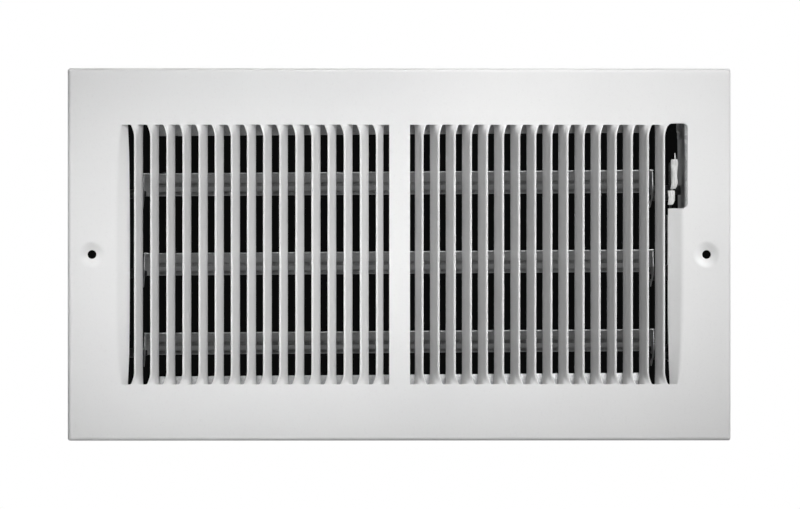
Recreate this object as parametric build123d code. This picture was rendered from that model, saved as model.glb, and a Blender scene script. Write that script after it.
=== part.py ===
from build123d import *
import os
from math import sin, cos, tan, radians

# Two-way stamped steel register with a three-blade damper behind it.
# Millimetres. +X to the right seen from the room, +Y into the wall, +Z up.
# Origin: middle of the duct opening, on the wall plane (the back of the turned edge).

# ---- face sheet ----
FACE_W = 349.25          # 13 3/4 in, nominal 12 x 6 in register
FACE_H = 196.0
SHEET = 0.8
RIM_DEPTH = 8.0          # turned-back edge
EDGE_R = 2.0             # outside radius of the turned edge
FRONT = -RIM_DEPTH       # front plane of the face
BACK = FRONT + SHEET     # back plane of the face sheet

# ---- fins ----
FIN_COUNT = 16           # in each bank
FIN_PITCH = 8.49
FIN_FIRST = 12.9         # outermost edge of the innermost fin, from the centre
FIN_ANGLE = 57.0         # to the face
FIN_ANGLE_FIRST = 62.5   # the innermost fin of each bank is turned further
FIN_WIDTH = 8.49         # nothing is punched out, so a strip is one pitch wide
FIN_PROUD = 1.6          # front edge ahead of the face plane
NECK = 3.7               # width of the neck that holds a fin at each end
NECK_OUT = 0.9           # neck's outer edge, outside the fin's edge
SLOT_Z = 68.4            # slot ends
FIN_Z = 68.0             # fin ends
TWIST = [(0.0, 0.0), (3.0, 0.55), (9.0, 1.0)]   # distance from the end, share of twist done
MULLION = 5.45           # half width of the centre bar

# ---- half fins at the ends of the window ----
CREASE = [(0.0, 146.4), (6.0, 147.2), (17.0, 148.15), (35.0, 148.8), (68.0, 149.1)]
HALF_EDGE = {-1: (143.1, 142.0), 1: (142.7, 141.7)}   # free edge at the ends and at mid height
HALF_DEPTH = 3.65

# ---- lever pocket ----
POCKET_X0, POCKET_X1 = 145.0, 151.7   # the pocket opens into the last slot up to the first of these
POCKET_Z0, POCKET_Z1 = 24.7, 69.0
POCKET_R = 2.2

# ---- screw holes ----
HOLE_X = 162.0
HOLE_R = 2.3
DIMPLE_R = 6.0
DIMPLE_DEPTH = 1.5

# ---- damper ----
ROLL = 0.43              # the damper sits this many degrees crooked in the face
GAUGE = 0.8              # rails and end plates
PLATE_X = 150.4          # inner face of an end plate
PLATE_Z = 75.0
PLATE_Y0, PLATE_Y1 = BACK, 52.0
PLATE_FLANGE = 5.0       # front flange, turned outward against the back of the face
PLATE_FLANGE_Z = 71.5    # its half height
TABS = ((-1, 45.0), (-1, -45.0), (1, 2.0), (1, -45.0))   # side, height of each tab
TAB_Y = -2.2             # front side of a tab's bent leg
RAIL_Z_IN = 63.6         # free edge of a rail's front flange
RAIL_Y0, RAIL_Y1 = 0.8, 50.0
RAIL_FLANGE_X = 130.6
OPEN_TILT = 13.4         # blades at rest, front edge up
BLADE_T = 0.5
HEM = 0.4                # second layer of the hemmed front edge
BLADE_W = 50.0
BLADE_A = 29.0           # pivot, from the front edge
BLADE_DROP = 4.0         # pivot, below the blade sheet
BLADE_X = 134.5          # half length
BEAD_X = 131.0
BEADS = (23.5, 42.5)     # from the front edge
EAR_TALL, EAR_TALL_LINK = 11.0, 12.6
PIVOT_Y = 28.1
PIVOT_Z = (33.0, -9.0, -51.0)
PIN_R = 1.5
PIN_RUN = 0.05           # running clearance
CRANK = 10.0             # pivot to link pin
CRANK_REST = -22.0       # link pin's direction at rest, down from straight ahead
LINK_PIN_R = 1.3
LINK_X = 144.0           # inner face of the link bar
LINK_T = 1.0
LEVER_T = 1.2
STEPS = ((145.35, 41.3, 3.3, 15.4, 2.6), (143.4, 28.9, 3.8, 7.8, 2.6))   # x, z, width, height, lean of each thumb step
STEM = (145.75, 49.0, 53.0, 1.0)   # thin end above the steps: x, z from, z to, width

os.makedirs("parts", exist_ok=True)


def box(x0, x1, y0, y1, z0, z1):
    return Pos((x0 + x1) / 2, (y0 + y1) / 2, (z0 + z1) / 2) * Box(abs(x1 - x0), abs(y1 - y0), abs(z1 - z0))


def rod_x(r, x0, x1, y, z):
    return Pos((x0 + x1) / 2, y, z) * Rot(0, 90, 0) * Cylinder(r, abs(x1 - x0))


def plain(shape):
    """The shape's single solid."""
    found = shape.solids()
    assert len(found) == 1, len(found)
    return found[0]


# ------------------------------------------------------------------ face
def offset_back(f, b, r, t):
    """Back-side points of a bent strip whose front side is f, b, r."""
    def normal(p, q):
        dx, dy = q[0] - p[0], q[1] - p[1]
        n = (dx * dx + dy * dy) ** 0.5
        return (dy / n, -dx / n)
    n1, n2 = normal(f, b), normal(b, r)
    if n1[1] < 0:
        n1 = (-n1[0], -n1[1])
    if n2[1] < 0:
        n2 = (-n2[0], -n2[1])
    k = t / (1 + n1[0] * n2[0] + n1[1] * n2[1])
    return (
        (f[0] + t * n1[0], f[1] + t * n1[1]),
        (b[0] + k * (n1[0] + n2[0]), b[1] + k * (n1[1] + n2[1])),
        (r[0] + t * n2[0], r[1] + t * n2[1]),
    )


def fin_points(edge, share, side):
    """Section of a fin whose outermost edge is `edge` mm from the centre; share 0 at its ends, 1 where fully turned."""
    a = radians(FIN_ANGLE_FIRST if edge == FIN_FIRST else FIN_ANGLE)
    xf = edge - SHEET * sin(a)
    end = (
        (edge + NECK_OUT, FRONT),
        (edge + NECK_OUT - NECK, FRONT),
        (edge + NECK_OUT - NECK - (FIN_WIDTH - NECK) * cos(a), FRONT + (FIN_WIDTH - NECK) * sin(a)),
    )
    full = (
        (xf, FRONT - FIN_PROUD),
        (xf - NECK * cos(a), FRONT - FIN_PROUD + NECK * sin(a)),
        (xf - FIN_WIDTH * cos(a), FRONT - FIN_PROUD + FIN_WIDTH * sin(a)),
    )
    f, b, r = (
        (p[0] + share * (q[0] - p[0]), p[1] + share * (q[1] - p[1])) for p, q in zip(end, full)
    )
    f2, b2, r2 = offset_back(f, b, r, SHEET)
    return [(side * x, y) for x, y in (f, b, r, r2, b2, f2)]


def section(points, z):
    return Wire.make_polygon([Vector(x, y, z) for x, y in points], close=True)


def fin(edge, side):
    low = [(-FIN_Z + s, w) for s, w in TWIST]
    levels = low + [(-z, w) for z, w in reversed(low)]
    return Solid.make_loft([section(fin_points(edge, w, side), z) for z, w in levels], ruled=True)


def crease_at(z):
    s = FIN_Z - abs(z)
    for (s0, c0), (s1, c1) in zip(CREASE, CREASE[1:]):
        if s <= s1:
            return c0 + (c1 - c0) * (s - s0) / (s1 - s0)
    return CREASE[-1][1]


def half_fin(side, levels):
    wires = []
    for z in levels:
        c = crease_at(z)
        done = (c - CREASE[0][1]) / (CREASE[-1][1] - CREASE[0][1])
        e = HALF_EDGE[side][0] + (HALF_EDGE[side][1] - HALF_EDGE[side][0]) * done
        dx, dy = c - e, HALF_DEPTH
        n = (dx * dx + dy * dy) ** 0.5
        points = [(c, FRONT), (e, FRONT + HALF_DEPTH), (e + SHEET * dy / n, FRONT + HALF_DEPTH + SHEET * dx / n), (c, BACK)]
        wires.append(section([(side * x, y) for x, y in points], z))
    return Solid.make_loft(wires, ruled=True)


def window(points):
    """Opening in the face sheet with this outline in x, z."""
    wire = Wire.make_polygon([Vector(x, FRONT - 1, z) for x, z in points], close=True)
    return extrude(Face(wire), 2.2, dir=(0, 1, 0))


levels = sorted({s - FIN_Z for s, _ in CREASE} | {FIN_Z - s for s, _ in CREASE})
lower = [z for z in levels if z < POCKET_Z0 - 3] + [POCKET_Z0 - 0.4]

outer = box(-FACE_W / 2, FACE_W / 2, FRONT, 0, -FACE_H / 2, FACE_H / 2)
outer = fillet(
    outer.edges().filter_by(Axis.Y) + outer.edges().filter_by_position(Axis.Y, FRONT - 0.01, FRONT + 0.01), EDGE_R
)
inner = box(-FACE_W / 2 + SHEET, FACE_W / 2 - SHEET, BACK, 5, -FACE_H / 2 + SHEET, FACE_H / 2 - SHEET)
inner = fillet(
    inner.edges().filter_by(Axis.Y) + inner.edges().filter_by_position(Axis.Y, BACK - 0.01, BACK + 0.01), EDGE_R - SHEET
)
face = outer - inner

left_outline = [(-crease_at(z), z) for z in levels] + [(-MULLION, FIN_Z), (-MULLION, -FIN_Z)]
right_outline = (
    [(MULLION, -FIN_Z)]
    + [(crease_at(z), z) for z in lower]
    + [(crease_at(lower[-1]), POCKET_Z0), (POCKET_X0, POCKET_Z0), (POCKET_X0, FIN_Z), (MULLION, FIN_Z)]
)
face = face - window(left_outline) - window(right_outline)
# slot ends beside each neck
edges = [FIN_FIRST + FIN_PITCH * k for k in range(FIN_COUNT)]
notches = []
for side in (-1, 1):
    for top in (-1, 1):
        for k in range(FIN_COUNT + 1):
            lo = MULLION if k == 0 else edges[k - 1] + NECK_OUT
            hi = CREASE[0][1] if k == FIN_COUNT else edges[k] + NECK_OUT - NECK
            if side > 0 and top > 0 and k == FIN_COUNT:
                continue
            notches.append(box(side * lo, side * hi, FRONT - 1, BACK + 1, top * (FIN_Z - 0.5), top * SLOT_Z))
face = face - Compound(children=notches)
pocket = box(edges[-1] + NECK_OUT, POCKET_X1, FRONT - 1, BACK + 1, POCKET_Z0, POCKET_Z1)
pocket = fillet(pocket.edges().filter_by(Axis.Y), POCKET_R)
face = face - pocket

fins = [fin(e, side) for side in (-1, 1) for e in edges]
halves = [half_fin(-1, levels), half_fin(1, lower)]

# tabs on the half fins, run back and then bent outward through the damper's end plates
tabs = []
for side, z in TABS:
    e = HALF_EDGE[side][1]
    tabs.append(box(side * (e - 0.1), side * (e + SHEET - 0.1), FRONT + HALF_DEPTH - 0.1, TAB_Y + SHEET, z - 3.5, z + 3.5))
    tabs.append(box(side * (e - 0.1), side * (PLATE_X + GAUGE + 1.2), TAB_Y, TAB_Y + SHEET, z - 3.5, z + 3.5))

# dimpled screw holes
dimples = []
for side in (-1, 1):
    face = face - Pos(side * HOLE_X, FRONT, 0) * Rot(90, 0, 0) * Cylinder(DIMPLE_R + 0.2, 6)
    profile = Wire.make_polygon(
        [
            Vector(DIMPLE_R + 0.2, FRONT, 0),
            Vector(DIMPLE_R, FRONT, 0),
            Vector(HOLE_R, FRONT + DIMPLE_DEPTH, 0),
            Vector(HOLE_R, BACK + DIMPLE_DEPTH, 0),
            Vector(DIMPLE_R + 0.2, BACK, 0),
        ],
        close=True,
    )
    dimples.append(Pos(side * HOLE_X, 0, 0) * revolve(Face(profile), Axis.Y))

face = face.fuse(*fins, *halves, *tabs, *dimples)
face = plain(face)

# ------------------------------------------------------------------ damper frame
def rail(top):
    web = box(-PLATE_X, PLATE_X, RAIL_Y0, RAIL_Y1, top * (PLATE_Z - GAUGE), top * PLATE_Z)
    flange = box(-RAIL_FLANGE_X, RAIL_FLANGE_X, RAIL_Y0, RAIL_Y0 + GAUGE, top * RAIL_Z_IN, top * PLATE_Z)
    shape = web + flange
    for side in (-1, 1):
        shape += box(side * (PLATE_X - GAUGE), side * PLATE_X, 14, 40, top * 60.0, top * PLATE_Z)
    for side in (-1, 1):
        for y in (20.0, 34.0):
            shape -= rod_x(1.6, side * (PLATE_X - 3), side * (PLATE_X + 3), y, top * 66.0)
    return plain(shape)


def end_plate(side):
    shape = box(side * PLATE_X, side * (PLATE_X + GAUGE), PLATE_Y0, PLATE_Y1, -PLATE_Z, PLATE_Z)
    shape += box(side * PLATE_X, side * (PLATE_X + PLATE_FLANGE), PLATE_Y0, PLATE_Y0 + GAUGE, -PLATE_FLANGE_Z, PLATE_FLANGE_Z)
    # above and below the flange the plate is cut back level with the rails
    for top in (-1, 1):
        shape -= box(side * (PLATE_X - 1), side * (PLATE_X + 2), PLATE_Y0 - 1, RAIL_Y0, top * PLATE_FLANGE_Z, top * 80.0)
    # stiffening lip at the back, left off behind the lever pocket
    shape += box(side * (PLATE_X - 6), side * (PLATE_X + GAUGE), PLATE_Y1 - GAUGE, PLATE_Y1, -58.0, 58.0 if side < 0 else 20.0)
    for z in PIVOT_Z:
        shape -= rod_x(2.0, side * (PLATE_X - 1), side * (PLATE_X + 2), PIVOT_Y, z)
    for top in (-1, 1):
        for y in (20.0, 34.0):
            shape -= rod_x(1.6, side * (PLATE_X - 1), side * (PLATE_X + 2), y, top * 66.0)
    return shape


def plate_slots(side):
    """Slots for the face's tabs, cut after the damper is turned into place because the tabs stay square with the face."""
    cut = [
        box(s * (PLATE_X - 2), s * (PLATE_X + 3), TAB_Y - 0.25, TAB_Y + SHEET + 0.25, z - 3.9, z + 3.9)
        for s, z in TABS
        if s == side
    ]
    return Compound(children=cut)


def pivot_pin(side, z):
    shoulder = 135.4 if side > 0 else 134.9
    pin = rod_x(PIN_R, side * 132.4, side * shoulder, PIVOT_Y, z)
    pin += rod_x(2.5, side * shoulder, side * PLATE_X, PIVOT_Y, z)
    pin += rod_x(2.0, side * PLATE_X, side * (PLATE_X + GAUGE), PIVOT_Y, z)
    pin += rod_x(3.2, side * (PLATE_X + GAUGE), side * (PLATE_X + GAUGE + 0.6), PIVOT_Y, z)
    return plain(pin)


def frame_rivet(side, top, y):
    z = top * 66.0
    r = rod_x(1.6, side * (PLATE_X - GAUGE), side * (PLATE_X + GAUGE), y, z)
    r += rod_x(3.0, side * (PLATE_X - GAUGE - 0.8), side * (PLATE_X - GAUGE), y, z)
    r += rod_x(3.0, side * (PLATE_X + GAUGE), side * (PLATE_X + GAUGE + 0.6), y, z)
    return plain(r)


def spring_washer(z):
    return plain(rod_x(2.8, 134.8, 135.1, PIVOT_Y, z) - rod_x(PIN_R + 0.05, 134.0, 136.0, PIVOT_Y, z))


# ------------------------------------------------------------------ blades
def blade(z):
    """Built flat with its front edge at y = 0 and its sheet's middle at z = 0, then tilted about the pivot."""
    t = BLADE_T
    shape = box(-BLADE_X, BLADE_X, 0, BLADE_W, -t / 2, t / 2)
    # hemmed front edge
    shape += box(-BLADE_X + 3, BLADE_X - 3, 0, 4.5, -t / 2 - HEM, -t / 2)
    for y in BEADS:
        ridge = Wire.make_polygon(
            [Vector(-BEAD_X, y - 1.7, -t / 2), Vector(-BEAD_X, y, -t / 2 - 1.0), Vector(-BEAD_X, y + 1.7, -t / 2)], close=True
        )
        shape += extrude(Face(ridge), 2 * BEAD_X, dir=(1, 0, 0))
        groove = Wire.make_polygon(
            [Vector(-BEAD_X, y - 1.5, t / 2), Vector(-BEAD_X, y, -t / 2 - 0.35), Vector(-BEAD_X, y + 1.5, t / 2)], close=True
        )
        shape -= extrude(Face(groove), 2 * BEAD_X, dir=(1, 0, 0))
    a = radians(CRANK_REST - OPEN_TILT)
    link = (BLADE_A - CRANK * cos(a), -BLADE_DROP + CRANK * sin(a))
    for side in (-1, 1):
        tall = EAR_TALL if side < 0 else EAR_TALL_LINK
        ear = box(side * (BLADE_X - t), side * BLADE_X, 1.5, 36.0, t / 2, -tall)
        ear = fillet(ear.edges().filter_by(Axis.X).sort_by(Axis.Z)[:2], 5.0)
        ear -= rod_x(PIN_R + PIN_RUN, side * 130, side * 140, BLADE_A, -BLADE_DROP)
        if side > 0:
            ear -= rod_x(LINK_PIN_R + 0.06, 130, 140, *link)
        shape += ear
    shape = plain(shape)
    return Pos(0, PIVOT_Y, z) * Rot(-OPEN_TILT, 0, 0) * Pos(0, -BLADE_A, BLADE_DROP) * shape


# ------------------------------------------------------------------ link and lever
LINK_Y = PIVOT_Y - CRANK * cos(radians(CRANK_REST))
LINK_Z = [z + CRANK * sin(radians(CRANK_REST)) for z in PIVOT_Z]
RIVET_Z = (36.6, 44.0)


def link_bar():
    bar = box(LINK_X, LINK_X + LINK_T, LINK_Y - 3, LINK_Y + 3, LINK_Z[2] - 3.5, 47.5)
    bar = fillet(bar.edges().filter_by(Axis.X), 2.6)
    for z in LINK_Z:
        bar -= rod_x(LINK_PIN_R, LINK_X - 1, LINK_X + 3, LINK_Y, z)
    for z in RIVET_Z:
        bar -= rod_x(1.2, LINK_X - 1, LINK_X + 3, LINK_Y, z)
    return plain(bar)


def link_pin(z):
    pin = rod_x(LINK_PIN_R, 133.5, LINK_X + LINK_T, LINK_Y, z)
    pin += rod_x(2.3, 132.8, 133.5, LINK_Y, z)
    pin += rod_x(2.0, BLADE_X + 0.3, LINK_X, LINK_Y, z)
    pin += rod_x(2.2, LINK_X + LINK_T, LINK_X + LINK_T + 0.8, LINK_Y, z)
    return plain(pin)


def lever_rivet(z):
    r = rod_x(1.2, LINK_X, LINK_X + LINK_T + LEVER_T, LINK_Y, z)
    r += rod_x(2.1, LINK_X + LINK_T + LEVER_T, LINK_X + LINK_T + LEVER_T + 0.7, LINK_Y, z)
    return plain(r)


def thumb_lever():
    x0 = LINK_X + LINK_T
    x1 = x0 + LEVER_T
    # arm: flat on the link bar and straight forward into the pocket
    shape = box(x0, x1, -6.4, LINK_Y + 2.8, 34.6, 46.8)
    # thumb steps: each slopes forward to its foot, and leans with its foot towards the fins
    for x, z, w, h, lean in STEPS:
        prof = [
            (-5.4, h / 2), (-6.6, h / 2), (-7.3, h * 0.22), (-7.3, h * 0.12), (-8.0, -h * 0.16), (-8.0, -h * 0.24),
            (-8.7, -h * 0.46), (-8.2, -h / 2), (-6.2, -h / 2), (-5.4, -h * 0.3),
        ]
        wire = Wire.make_polygon([Vector(-w / 2, py, pz) for py, pz in prof], close=True)
        shape += Pos(x, 0, z) * Rot(0, lean, 0) * extrude(Face(wire), w, dir=(1, 0, 0))
    # web behind the steps, and the thin stem above them
    shape += box(143.5, 144.7, -6.6, -5.0, 26.5, 49.0)
    shape += box(143.5, x1, -6.2, -5.0, 34.6, 46.8)
    x, z0, z1, w = STEM
    shape += box(x - w / 2, x + w / 2, -6.6, -5.4, z0 - 1.5, z1)
    for z in RIVET_Z:
        shape -= rod_x(1.2, x0 - 1, x1 + 1, LINK_Y, z)
    return plain(shape)


# ------------------------------------------------------------------ place and write
def crooked(shape):
    """Turns a damper piece into its slightly crooked place, right end up."""
    return Rot(0, -ROLL, 0) * shape


def write(name, shape):
    solids = shape.solids()
    if len(solids) == 1:
        out = solids[0]
    else:
        out = Compound(children=list(solids))
    out.label = name
    export_step(out, f"parts/{name}.step")


write("face_grille", face)
write("top_rail", crooked(rail(1)))
write("bottom_rail", crooked(rail(-1)))
for side, name in ((-1, "left"), (1, "right")):
    write(f"{name}_end_plate", plain(crooked(end_plate(side)) - plate_slots(side)))
    write(f"pivot_pins_{name}", Compound(children=[crooked(pivot_pin(side, z)) for z in PIVOT_Z]))
write(
    "frame_rivets",
    Compound(children=[crooked(frame_rivet(s, t, y)) for s in (-1, 1) for t in (-1, 1) for y in (20.0, 34.0)]),
)
write("spring_washers", Compound(children=[crooked(spring_washer(z)) for z in PIVOT_Z]))
for z, name in zip(PIVOT_Z, ("top", "middle", "bottom")):
    write(f"{name}_blade", crooked(blade(z)))
write("link_bar", crooked(link_bar()))
write("link_pins", Compound(children=[crooked(link_pin(z)) for z in LINK_Z]))
write("thumb_lever", crooked(thumb_lever()))
write("lever_rivets", Compound(children=[crooked(lever_rivet(z)) for z in RIVET_Z]))
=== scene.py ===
import math

import bmesh
import bpy
from mathutils import Matrix, Vector
from mathutils.geometry import tessellate_polygon


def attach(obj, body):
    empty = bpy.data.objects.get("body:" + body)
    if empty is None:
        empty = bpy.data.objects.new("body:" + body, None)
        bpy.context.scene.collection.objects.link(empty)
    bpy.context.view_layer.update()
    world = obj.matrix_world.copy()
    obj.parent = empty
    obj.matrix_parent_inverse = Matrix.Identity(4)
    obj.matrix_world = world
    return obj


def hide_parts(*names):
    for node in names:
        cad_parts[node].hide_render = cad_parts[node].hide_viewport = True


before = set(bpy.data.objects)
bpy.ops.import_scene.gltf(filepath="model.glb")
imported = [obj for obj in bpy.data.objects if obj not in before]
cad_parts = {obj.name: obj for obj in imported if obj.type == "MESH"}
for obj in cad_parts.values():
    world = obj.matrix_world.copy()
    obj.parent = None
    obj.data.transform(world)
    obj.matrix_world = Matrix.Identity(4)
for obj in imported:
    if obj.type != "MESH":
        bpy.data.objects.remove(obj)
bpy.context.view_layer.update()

MM = 0.001

# ------------------------------------------------------------------ sizes, in millimetres, as in the CAD model
FACE_W, FACE_H = 349.25, 196.0
SHEET = 0.8
FRONT = -8.0
BACK = FRONT + SHEET
EDGE_R = 2.0
CORNER_R = 1.2
CORNER_IN = 0.15
FIN_COUNT = 16
FIN_PITCH = 8.49
FIN_FIRST = 12.9
FIN_ANGLE = math.radians(57.0)
FIN_WIDTH = 8.49
FIN_PROUD = 1.6
NECK = 3.7
NECK_OUT = 1.15
CURL, CURL_ANGLE, CURL_IN = 0.8, math.radians(26.0), 0.2
SLOT_Z = 68.4
MULLION = 5.45
CREASE = [(0.0, 146.4), (6.0, 147.2), (17.0, 148.15), (35.0, 148.8), (68.0, 149.1)]
HALF_EDGE = {-1: (143.1, 142.0), 1: (142.7, 141.7)}
HALF_DEPTH = 3.65
POCKET_X1 = 151.7
POCKET_Z0, POCKET_Z1 = 24.7, 69.0
POCKET_R = 2.2
HOLE_X, HOLE_R = 162.0, 2.3
DIMPLE_R, DIMPLE_DEPTH = 7.0, 1.5
ROLL = math.radians(0.43)
GAUGE = 0.8
PLATE_X = 150.4
TABS = ((-1, 45.0), (-1, -45.0), (1, 2.0), (1, -45.0))
TAB_Y = -2.2


# ------------------------------------------------------------------ mesh helpers
class Sheet:
    """Collects points in millimetres and faces, then makes one object."""

    def __init__(self):
        self.points, self.faces = [], []

    def add(self, pts):
        i = len(self.points)
        self.points.extend(tuple(p) for p in pts)
        return list(range(i, i + len(pts)))

    def face(self, ids):
        out = []
        for i in ids:
            if not out or self.points[i] != self.points[out[-1]]:
                out.append(i)
        if len(out) > 2:
            self.faces.append(tuple(out))

    def bridge(self, a, b, closed=True):
        """Quads between two rows of the same length."""
        n = len(a)
        for i in range(n if closed else n - 1):
            j = (i + 1) % n
            self.face((a[i], a[j], b[j], b[i]))

    def cap(self, ids, flip=False):
        pts = [Vector(self.points[i]) for i in ids]
        for t in tessellate_polygon([pts]):
            tri = [ids[k] for k in t]
            self.face(tri[::-1] if flip else tri)

    def make(self, name, sharp=40.0, merge=0.0005, turn=None, flat_area=0.0):
        mesh = bpy.data.meshes.new(name)
        mesh.from_pydata([tuple(c * MM for c in p) for p in self.points], [], self.faces)
        bm = bmesh.new()
        bm.from_mesh(mesh)
        bmesh.ops.remove_doubles(bm, verts=bm.verts, dist=merge * MM)
        bmesh.ops.dissolve_degenerate(bm, dist=1e-8, edges=bm.edges)
        bmesh.ops.recalc_face_normals(bm, faces=bm.faces)
        for f in bm.faces:
            f.smooth = not (flat_area and abs(f.normal.y) > 0.9999 and f.calc_area() > flat_area * MM * MM)
        for e in bm.edges:
            if len(e.link_faces) == 2:
                e.smooth = e.calc_face_angle(0.0) < math.radians(sharp)
            else:
                e.smooth = False
        if turn is not None:
            bm.transform(turn)
        bm.to_mesh(mesh)
        bm.free()
        obj = bpy.data.objects.new(name, mesh)
        bpy.context.scene.collection.objects.link(obj)
        return obj


def rounded_rect(hw, hh, r, n=6):
    pts = []
    for cx, cz, a0 in ((hw - r, hh - r, 0), (-hw + r, hh - r, 90), (-hw + r, -hh + r, 180), (hw - r, -hh + r, 270)):
        for i in range(n + 1):
            a = math.radians(a0 + 90 * i / n)
            pts.append((cx + r * math.cos(a), cz + r * math.sin(a)))
    return pts


def lerp(a, b, t):
    return a + (b - a) * t


def smooth(t):
    t = max(0.0, min(1.0, t))
    return t * t * (3 - 2 * t)


def crease_at(z):
    """The half fin's fold line: smooth through the listed points."""
    s = max(0.0, SLOT_Z - abs(z))
    pts = CREASE
    for i in range(len(pts) - 1):
        (s0, c0), (s1, c1) = pts[i], pts[i + 1]
        if s <= s1:
            def slope(k):
                if k <= 0:
                    return (pts[1][1] - pts[0][1]) / (pts[1][0] - pts[0][0])
                if k >= len(pts) - 1:
                    return 0.0
                return (pts[k + 1][1] - pts[k - 1][1]) / (pts[k + 1][0] - pts[k - 1][0])
            h = s1 - s0
            t = (s - s0) / h
            return (
                (2 * t**3 - 3 * t**2 + 1) * c0
                + (t**3 - 2 * t**2 + t) * h * slope(i)
                + (-2 * t**3 + 3 * t**2) * c1
                + (t**3 - t**2) * h * slope(i + 1)
            )
    return pts[-1][1]


def thick_strip(mid, t, cap=4):
    """Closed outline, in x and y, of a strip of thickness t with rounded edges whose middle line is mid."""
    n = len(mid)
    normals = []
    for i in range(n):
        a = mid[max(0, i - 1)]
        b = mid[min(n - 1, i + 1)]
        dx, dy = b[0] - a[0], b[1] - a[1]
        d = math.hypot(dx, dy)
        normals.append((-dy / d, dx / d))
    h = t / 2
    out = [(p[0] + q[0] * h, p[1] + q[1] * h) for p, q in zip(mid, normals)]
    end, q = mid[-1], normals[-1]
    for i in range(1, cap):
        a = math.pi * i / cap
        c, s = math.cos(a), math.sin(a)
        out.append((end[0] + h * (q[0] * c + q[1] * s), end[1] + h * (q[1] * c - q[0] * s)))
    out += [(p[0] - q[0] * h, p[1] - q[1] * h) for p, q in zip(reversed(mid), reversed(normals))]
    end, q = mid[0], normals[0]
    for i in range(1, cap):
        a = math.pi * i / cap
        c, s = math.cos(a), math.sin(a)
        out.append((end[0] - h * (q[0] * c + q[1] * s), end[1] - h * (q[1] * c - q[0] * s)))
    return out


def bent(points, r, n=4):
    """The polyline with its corners rounded by short curves that start r before and end r after each corner."""
    out = [points[0]]
    for a, b, c in zip(points, points[1:], points[2:]):
        u = (a[0] - b[0], a[1] - b[1])
        v = (c[0] - b[0], c[1] - b[1])
        lu, lv = math.hypot(*u), math.hypot(*v)
        k = min(r, lu * 0.48, lv * 0.48)
        p = (b[0] + u[0] / lu * k, b[1] + u[1] / lu * k)
        q = (b[0] + v[0] / lv * k, b[1] + v[1] / lv * k)
        for i in range(n + 1):
            t = i / n
            out.append(tuple((1 - t) ** 2 * p[d] + 2 * t * (1 - t) * b[d] + t * t * q[d] for d in (0, 1)))
    out.append(points[-1])
    return out


# ------------------------------------------------------------------ face: sheet, turned edge, dimples, fins
face = Sheet()
EDGES = [FIN_FIRST + FIN_PITCH * k for k in range(FIN_COUNT)]
ROWS = [0.0, 0.35, 0.8, 1.3, 2.0, 3.0, 4.2, 6.0, 8.0, 11.0, 15.0, 20.0, 27.0, 35.0, 45.0, 56.0]
HALF_ROWS = [-SLOT_Z + s for s in ROWS] + [0.0] + [SLOT_Z - s for s in reversed(ROWS)]


def bend_start(z):
    return 0.55 + 0.65 * smooth((SLOT_Z - abs(z)) / 8.0)


# outline of the flat front, the two windows and the dimples
flat = rounded_rect(FACE_W / 2 - EDGE_R, FACE_H / 2 - EDGE_R, CORNER_IN)
left_fold = [(-(crease_at(z) + bend_start(z)), z) for z in HALF_ROWS]
low_rows = [z for z in HALF_ROWS if z < POCKET_Z0 - 4] + [POCKET_Z0 - 0.4]
right_fold = [(crease_at(z) + bend_start(z), z) for z in low_rows]
left_window = left_fold + [(-MULLION, SLOT_Z), (-MULLION, -SLOT_Z)]


def arc(cx, cz, r, a0, a1, n=6):
    return [(cx + r * math.cos(math.radians(lerp(a0, a1, i / n))), cz + r * math.sin(math.radians(lerp(a0, a1, i / n)))) for i in range(n + 1)]


pocket_edge = (
    [(right_fold[-1][0], POCKET_Z0)]
    + arc(POCKET_X1 - POCKET_R, POCKET_Z0 + POCKET_R, POCKET_R, -90, 0)
    + arc(POCKET_X1 - POCKET_R, POCKET_Z1 - POCKET_R, POCKET_R, 0, 90)
    + arc(EDGES[-1] + NECK_OUT + POCKET_R, POCKET_Z1 - POCKET_R, POCKET_R, 90, 180 - 46.7)
)
right_window = right_fold + pocket_edge + [(EDGES[-1] + NECK_OUT, SLOT_Z), (MULLION, SLOT_Z), (MULLION, -SLOT_Z)]
N_DIMPLE = 56


def circle(cx, r):
    return [(cx + r * math.cos(2 * math.pi * i / N_DIMPLE), r * math.sin(2 * math.pi * i / N_DIMPLE)) for i in range(N_DIMPLE)]


def plate(y, loops):
    """Flat face at depth y between an outline and its holes."""
    ids = []
    for loop in loops:
        ids += face.add([(x, y, z) for x, z in loop])
    for tri in tessellate_polygon([[Vector((x, z, 0)) for x, z in loop] for loop in loops]):
        face.face([ids[k] for k in tri])


# the pocket's edge is rolled over a little, as a punched edge is
ROLL_OVER = 0.45


def grown(loop, d):
    """The open line moved d to its left."""
    out = []
    for i, p in enumerate(loop):
        a, b = loop[max(0, i - 1)], loop[min(len(loop) - 1, i + 1)]
        dx, dz = b[0] - a[0], b[1] - a[1]
        n = math.hypot(dx, dz)
        out.append((p[0] + d * dz / n, p[1] - d * dx / n))
    return out


pocket_out = grown(pocket_edge, ROLL_OVER)
pocket_out[0] = (right_fold[-1][0] + 0.0, POCKET_Z0 - ROLL_OVER)
front_right = right_fold[:-1] + [(right_fold[-1][0], POCKET_Z0 - ROLL_OVER)] + pocket_out[1:] + [
    (EDGES[-1] + NECK_OUT, SLOT_Z), (MULLION, SLOT_Z), (MULLION, -SLOT_Z)]
dimple_loops = [circle(s * HOLE_X, DIMPLE_R + 0.2) for s in (-1, 1)]
plate(FRONT, [flat, left_window, front_right] + dimple_loops)
plate(BACK, [flat, left_window, right_window] + dimple_loops)
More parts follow.
